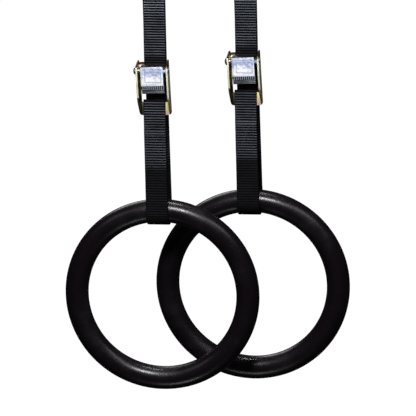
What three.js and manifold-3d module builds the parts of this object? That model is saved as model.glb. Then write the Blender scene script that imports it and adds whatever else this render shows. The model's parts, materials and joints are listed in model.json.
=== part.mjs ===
// A pair of gymnastics rings, each hung on a webbing strap with a cam buckle.
// Millimetres, +Z up, -Y is the front, where the buckles face. The origin is on the axis of the
// support that the left strap hangs over, so the object reaches down from Z = 0.
// The right set is a copy of the left one, moved by rightSetOffset.
import * as THREE from "three";
import { mergeVertices } from "three/addons/utils/BufferGeometryUtils.js";
import Module from "manifold-3d";

const wasm = await Module();
wasm.setup();

// The two sets as they hang: one beside and behind the other.
const rightSetOffset = new THREE.Vector3(102.7, 54.5, 0);

// Ring
const gripDiameter = 28;
const ringInnerDiameter = 180;
const ringSteps = 48;
const gripSteps = 16;

// Webbing
const webbingWidth = 27;
const webbingThickness = 1.6;
const gap = 0.3;
const layerPitch = webbingThickness + gap;

// Heights below the support's axis
const ringTopDrop = 316; // centre of the grip at the top of the ring
const pinDrop = 138;

// Loop over the support, and loop under the ring's grip
const supportRadius = 6;
const crownRadius = supportRadius + webbingThickness / 2;
const tailCrownRadius = crownRadius + layerPitch;
const crownSteps = 9;
const gripRoom = 1.6; // lets the curved grip turn inside the flat loop
const ringLoopRadius = gripDiameter / 2 + gripRoom + webbingThickness / 2;
const ringLoopSteps = 15;
const turnSteps = 8;
const leadLength = 0.5; // straight bit at each end of a bend
const tailEndLength = 44;

// How far each part of the strap lies to the side. The ring's loop hangs a little to the left of
// the load side and the tail, and its sewn end has slid towards the frame's left cheek.
const tailShift = 0;
const backTopShift = -3.6;
const backShift = -1.7;
const frontShift = -1.4;
const foldShift = -2.2;

// Buckle frame: a channel open to the front, with its pin axis as its own origin
const sheet = 2.2;
const channelHalfWidth = 19.4;
const channelInnerHalfWidth = channelHalfWidth - sheet;
const plateFront = 11; // front face of the base plate, behind the pin axis
const plateBack = plateFront + sheet;
const cheekFront = -6.5;
const frameTop = 10.4;
const cheekFrontTop = 6.4;
const cheekFrontBottom = -35;
const frameBottom = -57.4;
const plateTop = 8.1;
const anvilEdge = -16;
const lowerBarEdge = -41.6;
const windowHalfWidth = 16.4;
const frameShift = -2.4;
const frameRoll = THREE.MathUtils.degToRad(-2);
const basePlateY = -11; // front face of the base plate, from the support's axis

// Cam lever
const leverHalfWidth = 13.5;
const barrelRadius = 6;
const boreRadius = 2.8;
const padFront = -6.5;
const padTop = 5.6;
const padBottom = -17.5;
const padBorder = 3;
const leverTip = -28.2;
const toothCount = 6;
const toothDepth = 0.9;
const toothReach = 8.7;
const springPocketRadius = 5;
const springPocketDepth = 4;

// Pivot pin
const pinRadius = 2.5;
const headRadius = 5;
const headHeight = 3.1;
const pinEndRadius = 3.4;

// Torsion spring
const wireRadius = 0.5;
const coilRadius = 3.7;
const coilTurns = 4;
const coilPitch = 1.2;
const coilStart = -15.6;

const unitX = new THREE.Vector3(1, 0, 0);
const unitY = new THREE.Vector3(0, 1, 0);
const unitZ = new THREE.Vector3(0, 0, 1);

const finish = {
  ringPlastic: { color: 0x0c0c0d, roughness: 0.5, metalness: 0 },
  webbing: { color: 0x15171c, roughness: 0.85, metalness: 0 },
  yellowZinc: { color: 0xb9a768, roughness: 0.35, metalness: 1 },
  castZinc: { color: 0xc9ccd3, roughness: 0.3, metalness: 1 },
  steel: { color: 0x9a958a, roughness: 0.35, metalness: 1 },
};

function point(x, y, z) {
  return new THREE.Vector3(x, y, z);
}

function named(name, geometry, look) {
  const mesh = new THREE.Mesh(geometry, new THREE.MeshStandardMaterial(look));
  mesh.name = name;
  return mesh;
}

// Solids: joined and cut by manifold-3d

function solidFrom(geometry) {
  geometry.deleteAttribute("normal");
  geometry.deleteAttribute("uv");
  const merged = mergeVertices(geometry, 1e-4);
  const mesh = new wasm.Mesh({
    numProp: 3,
    vertProperties: merged.getAttribute("position").array,
    triVerts: new Uint32Array(merged.index.array),
  });
  return new wasm.Manifold(mesh);
}

function geometryFrom(solid) {
  const mesh = solid.getMesh();
  const geometry = new THREE.BufferGeometry();
  geometry.setAttribute("position", new THREE.BufferAttribute(mesh.vertProperties, mesh.numProp));
  geometry.setIndex(new THREE.BufferAttribute(mesh.triVerts, 1));
  geometry.computeVertexNormals();
  return geometry;
}

function box(lowest, highest) {
  const size = highest.clone().sub(lowest);
  const geometry = new THREE.BoxGeometry(size.x, size.y, size.z);
  const middle = lowest.clone().add(highest).multiplyScalar(0.5);
  return geometry.translate(middle.x, middle.y, middle.z);
}

function cylinderAlongX(radius, from, to, sides = 24) {
  const geometry = new THREE.CylinderGeometry(radius, radius, to - from, sides);
  return geometry.rotateZ(Math.PI / 2).translate((from + to) / 2, 0, 0);
}

// Profiles

// An outline whose corners are [across, up, fillet radius].
function filletedShape(corners) {
  const shape = new THREE.Shape();
  corners.forEach(([x, y, radius], i) => {
    const corner = new THREE.Vector2(x, y);
    const toward = (other) => {
      const [otherX, otherY] = corners[(i + other + corners.length) % corners.length];
      return new THREE.Vector2(otherX, otherY).sub(corner).setLength(radius).add(corner);
    };
    const start = toward(-1);
    const end = toward(1);
    if (i === 0) shape.moveTo(start.x, start.y);
    else shape.lineTo(start.x, start.y);
    shape.quadraticCurveTo(x, y, end.x, end.y);
  });
  return shape;
}

// A profile in Y and Z, carried along X.
function alongX(profile, from, to) {
  const options = { depth: to - from, bevelEnabled: false, curveSegments: 4 };
  const geometry = new THREE.ExtrudeGeometry(profile, options).translate(0, 0, from);
  return geometry.applyMatrix4(new THREE.Matrix4().makeBasis(unitY, unitZ, unitX));
}

// A profile in X and Z, carried along Y over the whole depth of the buckle frame.
function throughFrame(profile) {
  const depth = plateBack - cheekFront + 2;
  const options = { depth, bevelEnabled: false, curveSegments: 4 };
  const geometry = new THREE.ExtrudeGeometry(profile, options).translate(0, 0, -plateBack - 1);
  const basis = new THREE.Matrix4().makeBasis(unitX, unitZ, unitY.clone().negate());
  return geometry.applyMatrix4(basis);
}

// Webbing

// Points on a circle about (y, z), with angles in degrees from +Y towards +Z.
function arc(y, z, radius, fromAngle, toAngle, steps, fromX, toX = fromX) {
  return Array.from({ length: steps + 1 }, (_, i) => {
    const share = i / steps;
    const angle = THREE.MathUtils.degToRad(THREE.MathUtils.lerp(fromAngle, toAngle, share));
    const x = THREE.MathUtils.lerp(fromX, toX, share);
    return point(x, y + radius * Math.cos(angle), z + radius * Math.sin(angle));
  });
}

// The webbing's rectangular section at one point of a path, square to the path there.
function webbingSection(path, i) {
  const here = path[i];
  const into = here.clone().sub(path[Math.max(i - 1, 0)]).setX(0).normalize();
  const onward = path[Math.min(i + 1, path.length - 1)].clone().sub(here).setX(0).normalize();
  const along = into.add(onward).normalize();
  const outward = unitX.clone().cross(along).setLength(webbingThickness / 2);
  const side = unitX.clone().multiplyScalar(webbingWidth / 2);
  return [
    here.clone().sub(side).sub(outward),
    here.clone().add(side).sub(outward),
    here.clone().add(side).add(outward),
    here.clone().sub(side).add(outward),
  ];
}

// A flat band along a path in the YZ plane: its width stays along X.
function webbing(name, path) {
  const corners = path.flatMap((_, i) => webbingSection(path, i));
  const last = 4 * (path.length - 1);
  const faces = [0, 1, 2, 0, 2, 3, last, last + 2, last + 1, last, last + 3, last + 2];
  for (let start = 0; start < last; start += 4) {
    for (let side = 0; side < 4; side++) {
      const here = start + side;
      const next = start + ((side + 1) % 4);
      faces.push(here, here + 4, next + 4, here, next + 4, next);
    }
  }
  const geometry = new THREE.BufferGeometry().setFromPoints(corners);
  geometry.setIndex(faces);
  return named(name, geometry, finish.webbing);
}

// The strap is one length of webbing. From its sewn end it runs round the frame's lower bar, down
// the front, under the grip, up the back, over the support, down behind the frame, round the anvil
// edge, up between the cam and the base plate, and once more over the support, where it ends.
function strapPaths() {
  const frontY = basePlateY - gap - webbingThickness / 2;
  const behindY = basePlateY + sheet + gap + webbingThickness / 2;
  const turnY = (frontY + behindY) / 2;
  const turnRadius = (behindY - frontY) / 2;
  const rollRoom = 0.5;
  const anvilZ = -pinDrop + anvilEdge - rollRoom;
  const barZ = -pinDrop + lowerBarEdge + rollRoom;
  const belowFrame = -pinDrop + frameBottom - 8;
  const runTop = -leadLength - gap;
  const ringZ = -ringTopDrop;
  const ringRunEnd = ringZ + leadLength + gap;
  const frontLean = (ringLoopRadius + frontY) / (belowFrame - ringRunEnd);
  const backLean = (ringLoopRadius - crownRadius) / (runTop - ringRunEnd);
  const foldY = (z) => frontY + layerPitch - frontLean * (belowFrame - z);
  const joinZ = belowFrame - 10;
  const foldEndZ = belowFrame - 52;
  return {
    strap_crown: [
      point(backTopShift, crownRadius, -leadLength),
      ...arc(0, 0, crownRadius, 0, 180, crownSteps, backTopShift, tailShift),
      point(tailShift, -crownRadius, -leadLength),
    ],
    tail_crown: [
      point(tailShift, tailCrownRadius, -leadLength),
      ...arc(0, 0, tailCrownRadius, 0, 180, crownSteps, tailShift),
      point(tailShift, -tailCrownRadius, -leadLength),
    ],
    tail_end: [
      point(tailShift, tailCrownRadius, runTop),
      point(tailShift, tailCrownRadius + backLean * tailEndLength, runTop - tailEndLength),
    ],
    tail_run: [
      point(tailShift, frontY, anvilZ + leadLength + gap),
      point(tailShift, frontY, -pinDrop + plateTop + 1),
      point(tailShift, -tailCrownRadius, runTop),
    ],
    cam_turn: [
      point(tailShift, behindY, anvilZ + leadLength),
      ...arc(turnY, anvilZ, turnRadius, 0, -180, turnSteps, tailShift),
      point(tailShift, frontY, anvilZ + leadLength),
    ],
    load_run: [
      point(tailShift, -crownRadius, runTop),
      point(tailShift, behindY, anvilZ + leadLength + gap),
    ],
    back_run: [
      point(backTopShift, crownRadius, runTop),
      point(backShift, ringLoopRadius, ringRunEnd),
    ],
    ring_loop: [
      point(backShift, ringLoopRadius, ringZ + leadLength),
      ...arc(0, ringZ, ringLoopRadius, 0, -180, ringLoopSteps, backShift, frontShift),
      point(frontShift, -ringLoopRadius, ringZ + leadLength),
    ],
    front_run: [
      point(frontShift, -ringLoopRadius, ringRunEnd),
      point(foldShift, frontY, belowFrame - gap),
    ],
    fixed_fold: [
      point(foldShift, frontY, belowFrame),
      ...arc(turnY, barZ, turnRadius, 180, 0, turnSteps, foldShift),
      point(foldShift, behindY, -pinDrop + frameBottom - 2),
      point(foldShift, foldY(joinZ), joinZ),
      point(foldShift, foldY(foldEndZ), foldEndZ),
    ],
  };
}

// Buckle frame

function channelSection() {
  const outer = channelHalfWidth;
  const inner = channelInnerHalfWidth;
  const bend = 3.4;
  return filletedShape([
    [-outer, cheekFront, 0.3],
    [-outer, plateBack, bend],
    [outer, plateBack, bend],
    [outer, cheekFront, 0.3],
    [inner, cheekFront, 0.3],
    [inner, plateFront, bend - sheet],
    [-inner, plateFront, bend - sheet],
    [-inner, cheekFront, 0.3],
  ]);
}

function cheekOutline() {
  return filletedShape([
    [plateBack, frameTop, 0.5],
    [cheekFront, cheekFrontTop, 2.5],
    [cheekFront, cheekFrontBottom, 6],
    [plateFront - 1, frameBottom, 1],
    [plateBack, frameBottom, 0.5],
  ]);
}

function frontOutline() {
  const side = channelHalfWidth + 1;
  const inset = channelHalfWidth;
  return filletedShape([
    [-side, frameTop + 1, 0.5],
    [side, frameTop + 1, 0.5],
    [side, frameBottom + 14, 0.5],
    [inset, frameBottom + 12, 1],
    [inset, frameBottom, 5],
    [-inset, frameBottom, 5],
    [-inset, frameBottom + 12, 1],
    [-side, frameBottom + 14, 0.5],
  ]);
}

function windowOutline() {
  return filletedShape([
    [-windowHalfWidth, lowerBarEdge, 1.5],
    [windowHalfWidth, lowerBarEdge, 1.5],
    [windowHalfWidth, anvilEdge, 1.5],
    [-windowHalfWidth, anvilEdge, 1.5],
  ]);
}

function buckleFrame() {
  const height = frameTop - frameBottom + 2;
  const channel = new THREE.ExtrudeGeometry(channelSection(), {
    depth: height,
    bevelEnabled: false,
    curveSegments: 4,
  }).translate(0, 0, frameBottom - 1);
  const above = box(
    point(-channelInnerHalfWidth, plateFront - 2, plateTop),
    point(channelInnerHalfWidth, plateBack + 2, frameTop + 2),
  );
  const frame = solidFrom(channel)
    .intersect(solidFrom(alongX(cheekOutline(), -30, 30)))
    .intersect(solidFrom(throughFrame(frontOutline())))
    .subtract(solidFrom(throughFrame(windowOutline())))
    .subtract(solidFrom(above))
    .subtract(solidFrom(cylinderAlongX(boreRadius, -30, 30)));
  return geometryFrom(frame);
}

// Cam lever

// Saw teeth behind the pin. Their reach grows upwards, so a pull down on the webbing wedges them.
function camTeeth() {
  const pitch = 8;
  const lowest = -4;
  return Array.from({ length: toothCount }, (_, i) => {
    const angle = lowest + pitch * i;
    const reach = toothReach + 0.02 * i * pitch;
    const polar = (degrees, radius) => {
      const radians = THREE.MathUtils.degToRad(degrees);
      return new THREE.Vector2(radius * Math.cos(radians), radius * Math.sin(radians));
    };
    return [polar(angle - pitch / 2, reach - toothDepth), polar(angle, reach)];
  }).flat();
}

function leverProfile() {
  const barrel = Array.from({ length: 6 }, (_, i) => {
    const angle = THREE.MathUtils.degToRad(60 + 12 * i);
    return new THREE.Vector2(barrelRadius * Math.cos(angle), barrelRadius * Math.sin(angle));
  });
  const plan = [
    [padFront + 0.9, padTop + 0.8],
    [padFront, padTop],
    [padFront, padBottom],
    [-1.9, leverTip + 0.9],
    [-1.1, leverTip],
    [0.5, leverTip],
    [1, leverTip + 0.8],
    [0.2, leverTip + 7],
    [0.2, -10],
    [4.2, -4.5],
  ];
  const rest = plan.map(([y, z]) => new THREE.Vector2(y, z));
  return new THREE.Shape([...camTeeth(), ...barrel, ...rest]);
}

// Ribs on the sloped lower face: a row of short upright ones, and two long ones across the grip.
function leverRibs() {
  const slopeTop = new THREE.Vector2(padFront, padBottom);
  const slopeEnd = new THREE.Vector2(-1.9, leverTip + 0.9);
  const tilt = Math.atan2(slopeEnd.x - slopeTop.x, slopeTop.y - slopeEnd.y);
  const onSlope = (x, down, width, height) => {
    const rib = new THREE.BoxGeometry(width, 1.2, height);
    rib.translate(x, 0, -down).rotateX(tilt);
    return solidFrom(rib.translate(0, slopeTop.x, slopeTop.y));
  };
  const upright = Array.from({ length: 9 }, (_, i) => onSlope(-10 + 2.5 * i, 2.6, 1, 3.2));
  const across = [5.8, 8.2].map((down) => onSlope(0, down, 2 * leverHalfWidth - 2.4, 1));
  return [...upright, ...across];
}

function camLever() {
  const boss = cylinderAlongX(4.4, leverHalfWidth - 1, channelInnerHalfWidth - 0.5);
  const panelSide = leverHalfWidth - padBorder;
  const panel = box(
    point(-panelSide, padFront - 1, padBottom + padBorder),
    point(panelSide, padFront + 0.6, padTop - padBorder),
  );
  const back = box(point(-11, -4, -16.5), point(11, 3, -9));
  const pocketEnd = -leverHalfWidth + springPocketDepth;
  const pocket = cylinderAlongX(springPocketRadius, -leverHalfWidth - 1, pocketEnd);
  const body = solidFrom(alongX(leverProfile(), -leverHalfWidth, leverHalfWidth));
  const ribbed = leverRibs().reduce((solid, rib) => solid.add(rib), body);
  const lever = ribbed
    .add(solidFrom(boss))
    .subtract(solidFrom(panel))
    .subtract(solidFrom(back))
    .subtract(solidFrom(pocket))
    .subtract(solidFrom(cylinderAlongX(boreRadius, -30, 30)));
  return geometryFrom(lever);
}

// Pivot pin: domed head outside the left cheek, peened end outside the right one
function pivotPin() {
  const shoulder = channelHalfWidth + gap;
  const domeSteps = 5;
  const dome = Array.from({ length: domeSteps + 1 }, (_, i) => {
    const angle = (i / domeSteps) * (Math.PI / 2);
    const along = -shoulder - headHeight * Math.cos(angle);
    return new THREE.Vector2(headRadius * Math.sin(angle), along);
  });
  const rest = [
    [pinRadius, -shoulder],
    [pinRadius, shoulder],
    [pinEndRadius, shoulder],
    [pinEndRadius - 0.4, shoulder + 0.8],
    [0, shoulder + 1],
  ];
  const profile = [...dome, ...rest.map(([radius, along]) => new THREE.Vector2(radius, along))];
  return new THREE.LatheGeometry(profile, 20).rotateZ(-Math.PI / 2);
}

// Torsion spring: a leg up from the base plate beside the webbing, then the coil round the pin
function leverSpring() {
  const foot = new THREE.Vector2(plateFront - gap - wireRadius, -12);
  const legAngle = foot.angle() + Math.acos(coilRadius / foot.length());
  const stepsPerTurn = 8;
  const coil = Array.from({ length: coilTurns * stepsPerTurn + 1 }, (_, i) => {
    const turn = i / stepsPerTurn;
    const angle = legAngle + turn * 2 * Math.PI;
    const x = coilStart + coilPitch * turn;
    return point(x, coilRadius * Math.cos(angle), coilRadius * Math.sin(angle));
  });
  const middle = point(coilStart, foot.x, foot.y).lerp(coil[0], 0.5);
  const path = new THREE.CatmullRomCurve3([point(coilStart, foot.x, foot.y), middle, ...coil]);
  const section = new THREE.Shape();
  section.absarc(0, 0, wireRadius, 0, 2 * Math.PI);
  const options = { steps: 48, curveSegments: 3, extrudePath: path };
  return new THREE.ExtrudeGeometry(section, options);
}

function buckle(side) {
  const group = new THREE.Group();
  group.add(named(`${side}_buckle_frame`, buckleFrame(), finish.yellowZinc));
  group.add(named(`${side}_cam_lever`, camLever(), finish.castZinc));
  group.add(named(`${side}_pivot_pin`, pivotPin(), finish.steel));
  group.add(named(`${side}_lever_spring`, leverSpring(), finish.steel));
  group.position.set(frameShift, basePlateY - plateFront, -pinDrop);
  group.rotation.y = frameRoll;
  return group;
}

function ring(side) {
  const gripRadius = gripDiameter / 2;
  const ringRadius = ringInnerDiameter / 2 + gripRadius;
  const geometry = new THREE.TorusGeometry(ringRadius, gripRadius, gripSteps, ringSteps);
  geometry.rotateX(Math.PI / 2);
  const mesh = named(`${side}_ring`, geometry, finish.ringPlastic);
  mesh.position.z = -ringTopDrop - ringRadius;
  return mesh;
}

function ringSet(side) {
  const set = new THREE.Group();
  set.add(ring(side), buckle(side));
  for (const [run, path] of Object.entries(strapPaths())) {
    set.add(webbing(`${side}_${run}`, path));
  }
  return set;
}

const rings = new THREE.Group();
const leftSet = ringSet("left");
const rightSet = ringSet("right");
rightSet.position.copy(rightSetOffset);
rings.add(leftSet, rightSet);

export default rings;
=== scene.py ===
import json
import bmesh
import bpy
import numpy as np
from mathutils import Matrix, Vector


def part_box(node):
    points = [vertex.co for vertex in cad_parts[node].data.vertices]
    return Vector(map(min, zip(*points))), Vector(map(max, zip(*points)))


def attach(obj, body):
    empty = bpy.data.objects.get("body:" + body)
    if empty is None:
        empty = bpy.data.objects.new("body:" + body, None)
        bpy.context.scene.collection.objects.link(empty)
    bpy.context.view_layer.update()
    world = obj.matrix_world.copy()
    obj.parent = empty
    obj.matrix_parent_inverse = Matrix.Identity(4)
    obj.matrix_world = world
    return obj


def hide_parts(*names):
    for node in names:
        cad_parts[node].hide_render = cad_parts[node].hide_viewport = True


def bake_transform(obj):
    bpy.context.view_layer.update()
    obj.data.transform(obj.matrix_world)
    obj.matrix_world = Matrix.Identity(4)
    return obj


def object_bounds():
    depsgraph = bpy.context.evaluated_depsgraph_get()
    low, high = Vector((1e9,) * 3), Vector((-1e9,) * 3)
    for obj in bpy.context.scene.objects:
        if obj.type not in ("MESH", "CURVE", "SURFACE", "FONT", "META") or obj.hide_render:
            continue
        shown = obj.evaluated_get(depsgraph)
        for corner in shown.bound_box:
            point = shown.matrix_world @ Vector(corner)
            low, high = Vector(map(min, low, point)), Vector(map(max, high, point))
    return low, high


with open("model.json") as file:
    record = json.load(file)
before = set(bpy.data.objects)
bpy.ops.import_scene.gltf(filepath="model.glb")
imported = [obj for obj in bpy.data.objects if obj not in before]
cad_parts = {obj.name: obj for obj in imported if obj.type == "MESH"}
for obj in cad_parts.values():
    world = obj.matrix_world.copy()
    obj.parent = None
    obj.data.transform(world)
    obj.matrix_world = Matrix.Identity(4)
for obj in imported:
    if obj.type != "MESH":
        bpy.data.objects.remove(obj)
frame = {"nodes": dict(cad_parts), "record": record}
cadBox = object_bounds()
mm = 0.001
fullTurn = 2 * np.pi
sides = ("left", "right")
print("frame loaded:", len(frame["nodes"]), "nodes")


# camera and stage

shot = {
    "azimuth": 8.45,
    "elevation": 14.1,
    "roll": -1.35,
    "lens": 900.0,
    "sensor": 36.0,
    "width": 0.5012,  # how much the camera takes in across, at the left ring
    "clipEnd": 60,
    "fromRing": (0.0573, 0.1024),  # right and up from the left ring's middle
}


def middle(node):
    low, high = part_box(node)
    return (Vector(low) + Vector(high)) / 2


def addCamera():
    azimuth, elevation = np.radians((shot["azimuth"], shot["elevation"]))
    back = Vector((
        np.sin(azimuth) * np.cos(elevation),
        -np.cos(azimuth) * np.cos(elevation),
        np.sin(elevation),
    ))
    right = Vector((np.cos(azimuth), np.sin(azimuth), 0))
    up = back.cross(right)
    across, above = shot["fromRing"]
    aim = middle("left_ring") + across * right + above * up
    data = bpy.data.cameras.new("camera")
    data.lens = shot["lens"]
    data.sensor_width = shot["sensor"]
    data.clip_end = shot["clipEnd"]
    camera = bpy.data.objects.new("camera", data)
    turn = Matrix.Rotation(np.radians(shot["roll"]), 3, back)
    axes = Matrix((turn @ right, turn @ up, back)).transposed().to_4x4()
    distance = shot["lens"] * shot["width"] / shot["sensor"]
    camera.matrix_world = Matrix.Translation(aim + distance * back) @ axes
    bpy.context.scene.collection.objects.link(camera)
    bpy.context.scene.camera = camera


addCamera()


# mesh and material helpers

def meshFrom(name, points, faces):
    mesh = bpy.data.meshes.new(name)
    mesh.from_pydata(points, [], faces)
    mesh.validate()
    mesh.polygons.foreach_set("use_smooth", [True] * len(mesh.polygons))
    mesh.update()
    piece = bpy.data.objects.new(name, mesh)
    bpy.context.scene.collection.objects.link(piece)
    return piece


def gridFaces(rows, columns, closeRows=False):
    # Quads of a grid whose points run row by row. Its columns are closed, the last joined to the
    # first, and so are its rows where closeRows says so.
    r = np.arange(rows if closeRows else rows - 1)[:, None]
    c = np.arange(columns)[None, :]
    r2, c2 = (r + 1) % rows, (c + 1) % columns
    quads = np.stack([r * columns + c, r * columns + c2, r2 * columns + c2, r2 * columns + c], -1)
    return quads.reshape(-1, 4)


def setUv(piece, perPoint):
    # One (u, v) for each point, copied to every corner that uses it.
    mesh = piece.data
    layer = mesh.uv_layers.new(name="UVMap")
    corner = np.empty(len(mesh.loops), int)
    mesh.loops.foreach_get("vertex_index", corner)
    layer.data.foreach_set("uv", np.asarray(perPoint, float)[corner].ravel())


class Finish:
    # A small writer of node materials: makes a node, sets its values and joins its inputs.

    def __init__(self, name):
        self.material = bpy.data.materials.new(name)
        self.material.use_nodes = True
        self.tree = self.material.node_tree
        self.shader = self.tree.nodes["Principled BSDF"]

    def add(self, kind, values=None, **settings):
        node = self.tree.nodes.new("ShaderNode" + kind)
        for key, value in settings.items():
            setattr(node, key, value)
        for key, value in (values or {}).items():
            self.put(node, key, value)
        return node

    def put(self, node, key, value):
        if isinstance(value, bpy.types.NodeSocket):
            self.tree.links.new(value, node.inputs[key])
        else:
            node.inputs[key].default_value = value

    def set(self, **values):
        for key, value in values.items():
            self.put(self.shader, key.replace("_", " "), value)

    def math(self, operation, a, b=0.0, c=0.0, clamp=False):
        node = self.add("Math", {0: a, 1: b, 2: c}, operation=operation, use_clamp=clamp)
        return node.outputs[0]

    def mix(self, share, a, b):
        node = self.add("Mix", {0: share, 6: a, 7: b}, data_type="RGBA")
        return node.outputs[2]

    def object(self):
        return self.add("TexCoord").outputs["Object"]

    def mark(self, name, output="Fac"):
        return self.add("Attribute", attribute_name=name).outputs[output]

    def noise(self, scale, detail=3.0, roughness=0.5):
        values = {
            "Vector": self.object(),
            "Scale": scale,
            "Detail": detail,
            "Roughness": roughness,
        }
        return self.add("TexNoise", values).outputs["Fac"]

    def cells(self, scale):
        values = {"Vector": self.object(), "Scale": scale}
        return self.add("TexVoronoi", values, feature="SMOOTH_F1").outputs["Distance"]

    def ramp(self, share, *stops):
        node = self.add("ValToRGB", {0: share})
        ramp = node.color_ramp
        while len(ramp.elements) < len(stops):
            ramp.elements.new(0.5)
        for element, (place, colour) in zip(ramp.elements, stops):
            element.position = place
            element.color = (*colour, 1)
        return node.outputs["Color"]

    def band(self, value, low, high, toLow=0.0, toHigh=1.0):
        values = {
            "Value": value,
            "From Min": low,
            "From Max": high,
            "To Min": toLow,
            "To Max": toHigh,
        }
        return self.add("MapRange", values, interpolation_type="SMOOTHSTEP").outputs["Result"]

    def bump(self, height, distance, strength):
        values = {"Height": height, "Distance": distance, "Strength": strength}
        self.set(Normal=self.add("Bump", values).outputs["Normal"])


# finishes

turnLow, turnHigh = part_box("left_cam_turn")
webbing = {
    "width": turnHigh[0] - turnLow[0],
    "thickness": 1.6 * mm,
    "gap": 0.3 * mm,  # between one run and the next
    "edge": 0.7 * mm,  # how far in the round edges reach
    "ribHeight": 0.32 * mm,
    "ribFade": 0.6 * mm,  # how far in from the selvedge a rib gains its height
    "step": 0.45 * mm,
    "arcSteps": 60,
    "acrossSteps": 15,
    "softening": 1.0 * mm,  # how far a corner of the route is rounded
    "aboveLever": 3 * mm,  # where the strap is straight again over the buckle
    "foldBends": (6 * mm, 10 * mm),  # the fold's two bends, over and under the frame's edge
    "foldTuck": 0.4 * mm,
}


def ringPlastic():
    f = Finish("ringPlastic")
    pebble = f.cells(620)
    fine = f.noise(1500, 2)
    blotch = f.noise(28, 4, 0.6)
    rubbed = f.band(blotch, 0.5, 0.72)
    f.set(Base_Color=f.mix(rubbed, (0.004, 0.0026, 0.0039, 1), (0.0076, 0.006, 0.0072, 1)))
    rough = f.math("MULTIPLY_ADD", blotch, 0.16, 0.15)
    f.set(Roughness=f.math("MULTIPLY_ADD", pebble, 0.16, rough))
    f.set(Specular_IOR_Level=0.24)
    height = f.math("MULTIPLY_ADD", fine, 0.25, pebble)
    f.bump(height, 0.00011, 0.6)
    return f.material


weave = {
    "ribPitch": 3.15 * mm,
    "selvedge": 0.9 * mm,
    "selvedgeFade": 0.3 * mm,
    "warpPitch": 0.92 * mm,
    "stray": 0.5 * mm,  # how far a rib strays along the strap
    "twistAlong": 0.9 * mm,
    "twistAcross": 1.6 * mm,
}


def webbingCloth():
    f = Finish("webbingCloth")
    uv = f.add("UVMap", uv_map="UVMap").outputs["UV"]
    split = f.add("SeparateXYZ", {0: uv})
    across, along = split.outputs[0], split.outputs[1]
    ribLight = f.mark("ribLight")
    edge = f.math("ABSOLUTE", across)
    inside = webbing["width"] / 2 - weave["selvedge"]
    fade = weave["selvedgeFade"]
    body = f.band(edge, inside + fade, inside - fade)
    strayed = f.math("MULTIPLY_ADD", f.noise(90, 2), weave["stray"], along)
    rib = f.math("COSINE", f.math("MULTIPLY", strayed, fullTurn / weave["ribPitch"]))
    warp = f.math("SINE", f.math("MULTIPLY", across, fullTurn / weave["warpPitch"]))
    slantAcross = f.math("MULTIPLY", across, fullTurn / weave["twistAcross"])
    slant = f.math("MULTIPLY_ADD", along, fullTurn / weave["twistAlong"], slantAcross)
    twist = f.math("SINE", slant)
    fuzz = f.noise(700, 3)
    worn = f.noise(45, 4, 0.65)
    ply = f.math("MULTIPLY_ADD", twist, 0.25, 0.75)
    yarn = f.math("MULTIPLY", f.math("MULTIPLY_ADD", warp, 0.5, 0.5), ply)
    crest = f.math("MULTIPLY", f.band(rib, 0.25, 0.9), body)
    count = f.math("FLOOR", f.math("MULTIPLY_ADD", strayed, 1 / weave["ribPitch"], 0.5))
    uneven = f.add("TexWhiteNoise", {"W": count}, noise_dimensions="1D").outputs["Value"]
    lit = f.math("MULTIPLY", crest, f.math("MULTIPLY_ADD", yarn, 0.3, 0.7))
    lit = f.math("MULTIPLY", lit, f.math("MULTIPLY_ADD", fuzz, 0.5, 0.75))
    lit = f.math("MULTIPLY", lit, f.band(worn, 0.25, 0.6, 0.55, 1.0))
    lit = f.math("MULTIPLY", lit, f.math("MULTIPLY_ADD", uneven, 0.25, 0.8))
    # The ribs' painted light and painted shade, carried along the strap as a point attribute.
    lit = f.math("MULTIPLY", lit, f.math("MULTIPLY_ADD", ribLight, 0.97, 0.03), clamp=True)
    # Rib crests carry a painted highlight; between them the webbing is near black.
    f.set(Base_Color=f.mix(lit, (0.001, 0.0009, 0.0013, 1), (0.25, 0.275, 0.33, 1)))
    f.set(Roughness=f.math("MULTIPLY_ADD", fuzz, 0.2, 0.7))
    f.set(Specular_IOR_Level=0.06)
    height = f.math("ADD", f.math("MULTIPLY", yarn, 0.6), f.math("MULTIPLY", fuzz, 0.5))
    f.bump(height, 0.00012, 0.8)
    return f.material


def localSplit(f):
    # Right of a piece's middle, behind it, and above its foot.
    split = f.add("SeparateXYZ", {0: f.mark("local", "Vector")})
    return split.outputs[0], split.outputs[1], split.outputs[2]


frameFace = {
    "head": (7.5 * mm, 5.5 * mm),  # under the top edge, where the pale edges fall into shade
    "footSide": (-8 * mm, -11 * mm),  # from the middle, how the painted shade of the lower left corner fades in sideways
    "footTop": (27 * mm, 24 * mm),  # above the foot, how the same corner's painted shade fades in downwards
}


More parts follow.
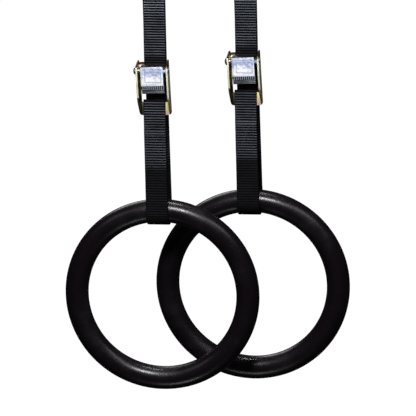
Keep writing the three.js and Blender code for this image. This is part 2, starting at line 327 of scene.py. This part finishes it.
def yellowZinc():
    f = Finish("yellowZinc")
    low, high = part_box("left_buckle_frame")
    tall = high[2] - low[2]
    x, _, above = localSplit(f)
    cloud = f.noise(110, 3, 0.55)
    drift = f.noise(330, 2)
    waver = f.math("MULTIPLY_ADD", drift, 0.3, -0.15)
    level = f.math("ADD", f.math("DIVIDE", above, tall), waver)
    litFront = f.mark("litFront")
    shadedTop = f.mark("shadedTop")
    outer = f.mark("outer")
    rolled = f.ramp(
        f.math("MULTIPLY_ADD", drift, 0.35, f.math("MULTIPLY", cloud, 0.7)),
        (0.36, (0.06, 0.08, 0.02)),
        (0.47, (0.13, 0.135, 0.045)),
        (0.58, (0.18, 0.13, 0.06)),
        (0.70, (0.17, 0.07, 0.06)),
    )
    # The front faces' painted highlight and painted reflection: pale, tinted pink, yellow, green
    # and cream by height.
    bright = f.ramp(
        level,
        (0.0, (0.95, 0.62, 0.55)),
        (0.1, (1.0, 0.78, 0.5)),
        (0.2, (1.0, 0.9, 0.32)),
        (0.3, (0.86, 0.9, 0.45)),
        (0.4, (0.95, 0.78, 0.72)),
        (0.55, (0.78, 0.85, 0.5)),
        (0.7, (0.96, 0.98, 0.68)),
        (0.85, (1.0, 0.97, 0.8)),
    )
    # Faces that look away sideways are painted paler: painted light.
    side = f.mix(f.math("MULTIPLY", outer, 0.8), rolled, (0.85, 0.85, 0.78, 1))
    headStart, headEnd = frameFace["head"]
    head = f.band(above, tall - headStart, tall - headEnd)
    footSide = f.band(x, *frameFace["footSide"])
    foot = f.math("MULTIPLY", footSide, f.band(above, *frameFace["footTop"]))
    # Painted shade on faces that look up and under the top edge.
    dark = f.math("MAXIMUM", shadedTop, head)
    shade = f.mix(f.band(cloud, 0.45, 0.6), (0.035, 0.03, 0.008, 1), (0.05, 0.012, 0.006, 1))
    # Front faces take the painted highlight, the rest the side colours.
    colour = f.mix(dark, f.mix(litFront, side, bright), shade)
    # Painted shade in the lower left corner.
    colour = f.mix(f.math("MULTIPLY", foot, 0.93), colour, (0.012, 0.012, 0.004, 1))
    f.set(Base_Color=colour, Metallic=0.62)
    f.set(Roughness=f.math("MULTIPLY_ADD", litFront, 0.22, f.math("MULTIPLY_ADD", cloud, 0.2, 0.2)))
    f.bump(f.noise(1400, 4, 0.6), 0.00005, 0.6)
    return f.material


leverFace = {
    "panelHalf": 9.8 * mm,
    "panelMiddle": 21.7 * mm,  # above the tip
    "panelHalfHeight": 6.3 * mm,
    "outline": (1.0 * mm, 0.3 * mm),  # from the panel's edge, where its painted shade line starts and is full
    "bandTop": 10.7 * mm,
    "paleTop": 34 * mm,
    "drift": 10 * mm,  # how far the clouds of the casting move its colours up and down
    "blotched": (17 * mm, 26 * mm),
    "uprightFoot": 6.4 * mm,
    "uprightFade": 0.2 * mm,
    "uprightPitch": 2.5 * mm,
    "linePitch": 2.1 * mm,
}


def castZinc():
    f = Finish("castZinc")
    x, _, above = localSplit(f)
    cloud = f.noise(260, 4, 0.65)
    speck = f.noise(900, 3, 0.7)
    litFront = f.mark("litFront")
    shadedTop = f.mark("shadedTop")
    lowered = f.math("SUBTRACT", above, leverFace["drift"] / 2)
    level = f.math("MULTIPLY_ADD", cloud, leverFace["drift"], lowered)
    # The front faces' painted highlight: white low down, bluish higher up as a painted reflection.
    pale = f.ramp(
        f.band(level, leverFace["bandTop"], leverFace["paleTop"]),
        (0.3, (1.0, 1.0, 1.0)),
        (0.5, (0.95, 0.97, 1.0)),
        (0.7, (0.62, 0.68, 0.9)),
        (0.95, (0.75, 0.8, 0.95)),
    )
    # A painted shade line along the edge of the pad's panel.
    beside = f.math("SUBTRACT", f.math("ABSOLUTE", x), leverFace["panelHalf"])
    over = f.math("ABSOLUTE", f.math("SUBTRACT", above, leverFace["panelMiddle"]))
    over = f.math("SUBTRACT", over, leverFace["panelHalfHeight"])
    outline = f.math("ABSOLUTE", f.math("MAXIMUM", beside, over))
    pale = f.mix(f.band(outline, *leverFace["outline"], 0, 0.75), pale, (0.3, 0.36, 0.62, 1))
    blotched = f.band(level, *leverFace["blotched"], 0.25, 1)
    blotch = f.math("MULTIPLY", f.band(cloud, 0.44, 0.6, 0, 0.75), blotched)
    pale = f.mix(blotch, pale, (0.26, 0.32, 0.55, 1))
    flat = f.mix(f.band(speck, 0.52, 0.7, 0, 0.7), pale, (0.36, 0.42, 0.62, 1))
    uprights = f.math("COSINE", f.math("MULTIPLY", x, fullTurn / leverFace["uprightPitch"]))
    lines = f.math("COSINE", f.math("MULTIPLY", above, fullTurn / leverFace["linePitch"]))
    foot, fade = leverFace["uprightFoot"], leverFace["uprightFade"]
    isUpright = f.band(above, foot - fade, foot + fade)
    ribs = f.math("MULTIPLY_ADD", isUpright, f.math("SUBTRACT", uprights, lines), lines)
    grain = f.math("MULTIPLY_ADD", f.math("SUBTRACT", speck, 0.5), 3.0, ribs)
    worn = f.mix(isUpright, (0.85, 0.9, 1.0, 1), (0.5, 0.55, 0.68, 1))
    dull = f.mix(f.band(grain, -0.2, 1.1), (0.012, 0.016, 0.03, 1), worn)
    # Painted shade, nearly black, on faces that look up.
    dull = f.mix(shadedTop, dull, (0.012, 0.008, 0.008, 1))
    # Front faces take the painted highlight, the rest the darker cast colours.
    f.set(Base_Color=f.mix(litFront, dull, flat), Metallic=0.45)
    f.set(Roughness=f.math("MULTIPLY_ADD", cloud, 0.2, 0.46))
    f.bump(f.noise(600, 4, 0.6), 0.00016, 0.8)
    return f.material


def rivetSteel():
    f = Finish("rivetSteel")
    cloud = f.noise(260, 3)
    f.set(Base_Color=f.mix(cloud, (0.14, 0.11, 0.08, 1), (0.38, 0.34, 0.28, 1)), Metallic=1.0)
    f.set(Roughness=f.math("MULTIPLY_ADD", cloud, 0.3, 0.3))
    f.bump(f.noise(1600, 3), 0.00004, 0.5)
    return f.material


def thread():
    f = Finish("thread")
    ply = f.noise(2200, 2)
    f.set(Base_Color=f.mix(ply, (0.002, 0.002, 0.003, 1), (0.014, 0.014, 0.018, 1)))
    f.set(Roughness=f.math("MULTIPLY_ADD", ply, 0.3, 0.5))
    f.bump(ply, 0.00008, 0.6)
    return f.material


finishes = {
    "thread": thread(),
    "ring": ringPlastic(),
    "webbing": webbingCloth(),
    "frame": yellowZinc(),
    "lever": castZinc(),
    "steel": rivetSteel(),
}
print("finishes made")


# rings: a round grip carried round a circle

ringSteps = {"round": 288, "grip": 64}


def addRing(side):
    # The grip's circle of radius r, carried round the ring's circle of radius R in the XZ plane:
    # x = (R + r cos b) cos a, y = r sin b, z = (R + r cos b) sin a.
    low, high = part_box(f"{side}_ring")
    centre = middle(f"{side}_ring")
    gripRadius = (high[1] - low[1]) / 2
    ringRadius = (high[0] - low[0]) / 2 - gripRadius
    a = np.linspace(0, fullTurn, ringSteps["round"], endpoint=False)[:, None]
    b = np.linspace(0, fullTurn, ringSteps["grip"], endpoint=False)[None, :]
    reach = ringRadius + gripRadius * np.cos(b)
    points = np.stack([
        centre.x + reach * np.cos(a),
        centre.y + gripRadius * np.sin(b) + 0 * a,
        centre.z + reach * np.sin(a),
    ], -1)
    faces = gridFaces(ringSteps["round"], ringSteps["grip"], True)
    piece = meshFrom(f"{side}RingGrip", points.reshape(-1, 3).tolist(), faces[:, ::-1].tolist())
    piece.data.materials.append(finishes["ring"])
    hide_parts(f"{side}_ring")
    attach(piece, f"{side}_hanging_ring")


for side in sides:
    addRing(side)
print("rings made")


# straps: a ribbed section carried along the whole route of the webbing

def arcPoints(y, z, radius, start, end):
    angle = np.radians(np.linspace(start, end, webbing["arcSteps"]))
    return np.stack([y + radius * np.cos(angle), z + radius * np.sin(angle)], -1)


def strapRoute(side):
    # The strap's middle line, from its loose end to its sewn end, as points (x, y, z).
    box = {run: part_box(f"{side}_{run}") for run in (
        "strap_crown", "tail_crown", "tail_end", "cam_turn", "ring_loop", "front_run", "fixed_fold",
    )}
    half = webbing["thickness"] / 2

    def radiusOf(run):
        return (box[run][1][1] - box[run][0][1]) / 2 - half

    supportY = sum(corner[1] for corner in box["strap_crown"]) / 2
    crown, tailCrown = radiusOf("strap_crown"), radiusOf("tail_crown")
    loop, turn = radiusOf("ring_loop"), radiusOf("cam_turn")
    turnY = sum(corner[1] for corner in box["cam_turn"]) / 2
    tailX = middle(f"{side}_cam_turn").x
    backX = box["strap_crown"][0][0] + webbing["width"] / 2
    loopX = middle(f"{side}_ring_loop").x
    foldX = middle(f"{side}_fixed_fold").x
    anvilZ = box["cam_turn"][0][2] + half + turn
    barZ = box["fixed_fold"][1][2] - half - turn
    ringZ = box["ring_loop"][0][2] + half + loop
    foldZ = box["fixed_fold"][0][2]
    belowFrame = box["front_run"][1][2]
    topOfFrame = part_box(f"{side}_cam_lever")[1][2] + webbing["aboveLever"]
    bendOver, bendUnder = webbing["foldBends"]
    frontY, behindY = turnY - turn, turnY + turn
    lean = (supportY - loop - frontY) / (belowFrame - ringZ)
    innerY = frontY + webbing["thickness"] + webbing["gap"] + lean * (belowFrame - foldZ)
    runs = [
        (tailX, tailX, [(box["tail_end"][1][1] - half, box["tail_end"][0][2])]),
        (tailX, tailX, arcPoints(supportY, 0, tailCrown, 0, 180)),
        (tailX, tailX, [(frontY, topOfFrame)]),
        (tailX, tailX, arcPoints(turnY, anvilZ, turn, 180, 360)),
        (tailX, tailX, [(behindY, topOfFrame)]),
        (tailX, backX, arcPoints(supportY, 0, crown, 180, 0)),
        (loopX, loopX, arcPoints(supportY, ringZ, loop, 0, -180)),
        (foldX, foldX, [(frontY, belowFrame)]),
        (foldX, foldX, arcPoints(turnY, barZ, turn, 180, 0)),
        (foldX, foldX, [(behindY, belowFrame + bendOver)]),
        (foldX, foldX, [(innerY - webbing["foldTuck"], belowFrame - bendUnder)]),
        (foldX, foldX, [(innerY, foldZ)]),
    ]
    route = []
    for fromX, toX, points in runs:
        for x, (y, z) in zip(np.linspace(fromX, toX, len(points)), points):
            route.append((x, y, z))
    return np.array(route)


def evenly(route, step):
    # The same route with a point every step of its length.
    stretch = np.linalg.norm(np.diff(route[:, 1:], axis=0), axis=1)
    along = np.concatenate([[0], np.cumsum(stretch)])
    even = np.linspace(0, along[-1], int(along[-1] / step) + 1)
    return np.stack([np.interp(even, along, route[:, k]) for k in range(3)], -1), even


def soften(values, width):
    # A running mean with a bell weight, with the two ends carried straight on.
    reach = max(int(3 * width), 1)
    offset = np.arange(-reach, reach + 1)
    weight = np.exp(-0.5 * (offset / width) ** 2)
    first, last = values[0], values[-1]
    before = 2 * first - values[1:reach + 1][::-1]
    after = 2 * last - values[-reach - 1:-1][::-1]
    longer = np.concatenate([before, values, after])
    return np.convolve(longer, weight / weight.sum(), "valid")


def webbingSection():
    # Across the webbing and back: (across, out), with round edges as the end of an ellipse.
    half, flat = webbing["thickness"] / 2, webbing["width"] / 2 - webbing["edge"]
    inner = np.linspace(-1, 1, webbing["acrossSteps"]) * flat
    edge = np.radians([20, 55, 90])
    roundX = flat + webbing["edge"] * np.sin(edge)
    roundY = half * np.cos(edge)
    upperX = np.concatenate([-roundX[:2][::-1], inner, roundX])
    upperY = np.concatenate([roundY[:2][::-1], np.full(inner.size, half), roundY])
    lowerX, lowerY = -upperX, -upperY
    return np.concatenate([upperX, lowerX]), np.concatenate([upperY, lowerY])


def ease(value, start, end):
    # 0 before start, 1 after end, and a smooth step between them.
    share = np.clip((value - start) / (end - start), 0, 1)
    return share * share * (3 - 2 * share)


# Levels of the ribs' painted light and painted shade along the strap.
ribLightLevels = {
    "byRing": 0.06,
    "byRingFade": (-9 * mm, 3 * mm),  # from the end of the fold
    "overBuckle": 0.42,
    "higherUp": 0.6,  # how much more there is further up
    "higherUpFade": (50 * mm, 82 * mm),  # from the lever's top, as the three after it
    "rubbed": 0.12,
    "rubbedFade": (0, 20 * mm),
    # painted shade on the run inside the buckle, from the fold's top to just over the lever
    "shadeInBuckle": 0.9,
    "shadeInBuckleFade": (12 * mm, 7 * mm),
    "foldFade": (-4 * mm, -2 * mm),  # from the fold's top
    # painted shade on the runs behind
    "behind": 0.3,
    "frontFade": 6 * mm,
}


def ribLighting(side, route):
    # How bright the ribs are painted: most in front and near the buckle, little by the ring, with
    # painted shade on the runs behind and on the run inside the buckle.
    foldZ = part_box(f"{side}_fixed_fold")[0][2]
    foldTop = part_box(f"{side}_fixed_fold")[1][2]
    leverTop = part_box(f"{side}_cam_lever")[1][2]
    z = route[:, 2]

    def fade(start, name):
        return ease(z, start + ribLightLevels[name][0], start + ribLightLevels[name][1])

    ahead = middle(f"{side}_strap_crown").y - route[:, 1]
    inFront = ease(ahead, 0, ribLightLevels["frontFade"])
    low = ribLightLevels["byRing"] + (1 - ribLightLevels["byRing"]) * fade(foldZ, "byRingFade")
    high = ribLightLevels["overBuckle"] + ribLightLevels["higherUp"] * fade(leverTop, "higherUpFade")
    high *= 1 - ribLightLevels["rubbed"] * fade(leverTop, "rubbedFade")
    shadeInBuckle = ribLightLevels["shadeInBuckle"] * fade(leverTop, "shadeInBuckleFade") * fade(foldTop, "foldFade")
    return low * high * (1 - shadeInBuckle) * (ribLightLevels["behind"] + (1 - ribLightLevels["behind"]) * inFront)


slots = {part["node"]: part["material_slot"] for part in frame["record"]["subparts"]}


def addStrap(side):
    # Each point is the route's point, plus across times X, plus out times the route's normal. The
    # ribs add to out as a raised cosine of the length, and fade out at the selvedges.
    route, along = evenly(strapRoute(side), webbing["step"])
    width = webbing["softening"] / webbing["step"]
    route[:, 0] = soften(route[:, 0], 20 * width)
    route[:, 1] = soften(route[:, 1], width)
    route[:, 2] = soften(route[:, 2], width)
    ahead = np.gradient(route[:, 1:], axis=0)
    ahead /= np.linalg.norm(ahead, axis=1)[:, None]
    normal = np.stack([0 * along, -ahead[:, 1], ahead[:, 0]], -1)
    across, out = webbingSection()
    rib = 0.5 + 0.5 * np.cos(fullTurn * along / weave["ribPitch"])
    inside = webbing["width"] / 2 - weave["selvedge"] - np.abs(across)
    body = np.clip(inside / webbing["ribFade"], 0, 1)
    lift = np.sign(out)[None, :] * webbing["ribHeight"] * (rib[:, None] - 0.8) * body[None, :]
    points = route[:, None, :] + (out[None, :] + lift)[..., None] * normal[:, None, :]
    points[..., 0] += across[None, :]
    rows, columns = points.shape[:2]
    faces = gridFaces(rows, columns).tolist()
    faces += [list(range(columns))[::-1], list(range((rows - 1) * columns, rows * columns))]
    piece = meshFrom(f"{side}Strap", points.reshape(-1, 3).tolist(), faces)
    setUv(piece, np.stack(np.broadcast_arrays(across[None, :], along[:, None]), -1).reshape(-1, 2))
    # The ribs' painted light and painted shade, one value for each point along the strap.
    ribLight = piece.data.attributes.new("ribLight", "FLOAT", "POINT")
    ribLight.data.foreach_set("value", np.repeat(ribLighting(side, route), columns))
    piece.data.materials.append(finishes["webbing"])
    ofSide = [name for name in frame["nodes"] if name.startswith(side)]
    runs = [name for name in ofSide if slots[name] == "webbing"]
    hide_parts(*runs)
    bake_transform(piece)


for side in sides:
    addStrap(side)
print("straps made")


# stitches: a box with a cross, sewn through the strap and its folded end

sewing = {
    "halfWidth": 9.0 * mm,
    "top": 4.0 * mm,  # under the top of the front run
    "aboveEnd": 4.0 * mm,  # over the end of the folded webbing
    "stitch": 2.5 * mm,
    "pitch": 3.3 * mm,
    "thread": 0.34 * mm,
    "proud": 0.05 * mm,
    "lastRow": 1.2 * mm,  # under the box
    "rings": 5,  # of each stitch between its tips
    "around": 6,
}


def stitchRow(start, end):
    # Middles and directions of the stitches that fit between two points of the sewn face.
    start, end = np.array(start), np.array(end)
    length = np.linalg.norm(end - start)
    count = max(int(length / sewing["pitch"]), 1)
    share = (np.arange(count) + 0.5)[:, None] / count
    way = (end - start) / length
    return start + share * (end - start), np.repeat(way[None, :], count, axis=0)


def addStitches(side):
    # Each stitch is an ellipsoid: along times half a stitch, and thread times the circle round
    # it.
    frontRun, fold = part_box(f"{side}_front_run"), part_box(f"{side}_fixed_fold")
    half = webbing["thickness"] / 2
    top, bottom = frontRun[1][2] - sewing["top"], fold[0][2] + sewing["aboveEnd"]
    rings, around = sewing["rings"], sewing["around"]
    w = sewing["halfWidth"]
    corners = [(-w, top), (w, top), (w, bottom), (-w, bottom)]
    lines = [(corners[i], corners[(i + 1) % 4]) for i in range(4)]
    lines += [(corners[0], corners[2]), (corners[1], corners[3])]
    lines += [((-w, bottom - sewing["lastRow"]), (w, bottom - sewing["lastRow"]))]
    rows = [stitchRow(*line) for line in lines]
    centre = np.concatenate([row[0] for row in rows])
    way = np.concatenate([row[1] for row in rows])
    topY, loopY = frontRun[1][1] - half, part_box(f"{side}_ring_loop")[0][1] + half
    lean = (loopY - topY) / (frontRun[0][2] - frontRun[1][2])
    y = topY + lean * (centre[:, 1] - frontRun[1][2]) - half - sewing["proud"]
    middleX = middle(f"{side}_fixed_fold").x
    place = np.stack([centre[:, 0] + middleX, y, centre[:, 1]], -1)
    along = np.stack([way[:, 0], 0 * y, way[:, 1]], -1)
    beside = np.cross(along, (0.0, 1.0, 0.0))
    a = np.linspace(0, np.pi, rings + 2)[1:-1][:, None]
    b = np.linspace(0, fullTurn, around, endpoint=False)[None, :]
    shape = np.stack([
        np.cos(a) * sewing["stitch"] / 2 + 0 * b,
        np.sin(a) * np.cos(b) * sewing["thread"],
        np.sin(a) * np.sin(b) * sewing["thread"],
    ], -1).reshape(-1, 3)
    tips = np.array([[sewing["stitch"] / 2, 0, 0], [-sewing["stitch"] / 2, 0, 0]])
    shape = np.concatenate([shape, tips])
    axes = np.stack([along, beside, np.broadcast_to((0.0, 1.0, 0.0), along.shape)], 1)
    points = place[:, None, :] + np.einsum("pk,nkc->npc", shape, axes)
    faces = gridFaces(rings, around).tolist()
    faces += [[(i + 1) % around, i, rings * around] for i in range(around)]
    last = (rings - 1) * around
    faces += [[last + i, last + (i + 1) % around, rings * around + 1] for i in range(around)]
    every = [
        [corner + n * len(shape) for corner in face]
        for n in range(len(place)) for face in faces
    ]
    piece = meshFrom(f"{side}Stitches", points.reshape(-1, 3).tolist(), every)
    outward(piece)
    piece.data.materials.append(finishes["thread"])
    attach(piece, f"{side}_hanging_strap")


def outward(piece):
    shape = bmesh.new()
    shape.from_mesh(piece.data)
    bmesh.ops.recalc_face_normals(shape, faces=shape.faces)
    shape.to_mesh(piece.data)
    shape.free()


for side in sides:
    addStitches(side)
print("stitches made")


# buckles: the CAD solids with their edges broken, as stamping and casting leave them

metals = {
    "buckle_frame": {
        "finish": "frame", "slot": "yellow_zinc", "body": "hanging_strap", "bevel": 0.45 * mm,
    },
    "cam_lever": {
        "finish": "lever", "slot": "cast_zinc", "body": "lever", "bevel": 0.28 * mm,
    },
    "pivot_pin": {
        "finish": "steel", "slot": "steel", "body": "hanging_strap", "bevel": 0.2 * mm,
    },
    "lever_spring": {
        "finish": "steel", "slot": "steel", "body": "hanging_strap", "bevel": 0,
    },
}
bevels = {"segments": 2, "sharp": 35}  # sharp is the angle in degrees from which an edge is broken
joining = {"doubles": 2e-6, "flat": 1}  # metres between doubles, and degrees between flat faces


def mergedCopy(node, name):
    # A copy of a CAD node with its doubles merged and its flat faces joined.
    source = frame["nodes"][node]
    piece = bpy.data.objects.new(name, source.data.copy())
    bpy.context.scene.collection.objects.link(piece)
    piece.data.transform(source.matrix_world)
    piece.data.materials.clear()
    shape = bmesh.new()
    shape.from_mesh(piece.data)
    bmesh.ops.remove_doubles(shape, verts=shape.verts, dist=joining["doubles"])
    flat = np.radians(joining["flat"])
    bmesh.ops.dissolve_limit(shape, angle_limit=flat, verts=shape.verts, edges=shape.edges)
    shape.to_mesh(piece.data)
    shape.free()
    return piece


def markFaces(piece, node):
    # Three face marks, by which way each face looks: straight to the front, where a painted
    # highlight goes; up, where painted shade goes; and away sideways, which are painted paler as
    # painted light. local is each point's place from the node's middle and foot.
    low, high = np.array(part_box(node))
    start = np.array([(low[0] + high[0]) / 2, (low[1] + high[1]) / 2, low[2]])
    normal = np.empty(len(piece.data.polygons) * 3)
    centre = np.empty(len(piece.data.polygons) * 3)
    place = np.empty(len(piece.data.vertices) * 3)
    piece.data.polygons.foreach_get("normal", normal)
    piece.data.polygons.foreach_get("center", centre)
    piece.data.vertices.foreach_get("co", place)
    normal = normal.reshape(-1, 3)
    away = np.sign(centre.reshape(-1, 3)[:, 0] - start[0])
    marks = {
        "litFront": ease(-normal[:, 1], 0.94, 0.985),
        "shadedTop": ease(normal[:, 2], 0.15, 0.4),
        "outer": ease(normal[:, 0] * away, 0.85, 0.97),
    }
    for name, values in marks.items():
        piece.data.attributes.new(name, "FLOAT", "FACE").data.foreach_set("value", values)
    local = piece.data.attributes.new("local", "FLOAT_VECTOR", "POINT")
    local.data.foreach_set("vector", (place.reshape(-1, 3) - start).ravel())


def addMetal(side, part, plan):
    piece = mergedCopy(f"{side}_{part}", side + part.title().replace("_", ""))
    if plan["bevel"]:
        bevel = piece.modifiers.new("edges", "BEVEL")
        bevel.width = plan["bevel"]
        bevel.segments = bevels["segments"]
        bevel.limit_method = "ANGLE"
        bevel.angle_limit = np.radians(bevels["sharp"])
        bevel.harden_normals = True
    piece.data.polygons.foreach_set("use_smooth", [True] * len(piece.data.polygons))
    markFaces(piece, f"{side}_{part}")
    piece.data.materials.append(finishes[plan["finish"]])
    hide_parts(f"{side}_{part}")
    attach(piece, f"{side}_{plan['body']}")


for side in sides:
    for part, plan in metals.items():
        addMetal(side, part, plan)
print("buckles made")


# stage and light

studio = {
    "floorBelow": 1.3,  # under the rings
    "floorReach": 60.0,
    "pale": 1.0,
    "fill": 0.02,  # how bright the surroundings are where a piece reflects them
    "panels": {
        # place from the middle of the rings, size, power
        "frontLamp": ((0.09, -1.3, 1.25), (0.25, 0.25), 44),
        "sidePanel": ((1.05, -0.88, 1.2), (0.9, 0.5), 7.5),
        "overhead": ((0.02, 0.22, 1.3), (0.25, 0.12), 6),
        "leftPanel": ((-1.1, -0.9, 1.0), (0.8, 0.5), 2),
        "lowLamp": ((-0.05, -0.5, -0.95), (0.2, 0.1), 0.8),
        "backPanel": ((-0.7, 1.3, 0.9), (0.9, 0.5), 8),
    },
}


def addFloor():
    floorZ = cadBox[0].z - studio["floorBelow"]
    reach = studio["floorReach"]
    square = [(-reach, -reach), (reach, -reach), (reach, reach), (-reach, reach)]
    corners = [(x, y, floorZ) for x, y in square]
    floor = meshFrom("floor", corners, [(0, 1, 2, 3)])
    f = Finish("paleFloor")
    f.set(Base_Color=(0.9, 0.9, 0.9, 1), Roughness=1.0, Specular_IOR_Level=0.0)
    f.set(Emission_Color=(1, 1, 1, 1), Emission_Strength=studio["pale"])
    floor.data.materials.append(f.material)
    floor.visible_glossy = False
    floor.visible_diffuse = False


def addPanel(name, place, size, power):
    # A soft panel at a place measured from the middle of the rings, facing them.
    data = bpy.data.lights.new(name, "AREA")
    data.shape = "RECTANGLE"
    data.size, data.size_y = size
    data.energy = power
    light = bpy.data.objects.new(name, data)
    centre = (cadBox[0] + cadBox[1]) / 2
    light.location = centre + Vector(place)
    light.rotation_euler = (-Vector(place)).to_track_quat("-Z", "Y").to_euler()
    bpy.context.scene.collection.objects.link(light)


def addSky():
    # Pale where it is seen straight on, dim where the pieces reflect it.
    world = bpy.data.worlds.new("studio")
    world.use_nodes = True
    nodes, links = world.node_tree.nodes, world.node_tree.links
    sky = nodes["Background"]
    rays = nodes.new("ShaderNodeLightPath")
    level = nodes.new("ShaderNodeMapRange")
    level.inputs["To Min"].default_value = studio["fill"]
    level.inputs["To Max"].default_value = studio["pale"]
    links.new(rays.outputs["Is Camera Ray"], level.inputs["Value"])
    links.new(level.outputs["Result"], sky.inputs["Strength"])
    sky.inputs["Color"].default_value = (1, 1, 1, 1)
    bpy.context.scene.world = world


def addStudio():
    addFloor()
    for name, (place, size, power) in studio["panels"].items():
        addPanel(name, place, size, power)
    addSky()
    bpy.context.scene.view_settings.view_transform = "Standard"


addStudio()
print("stage made")
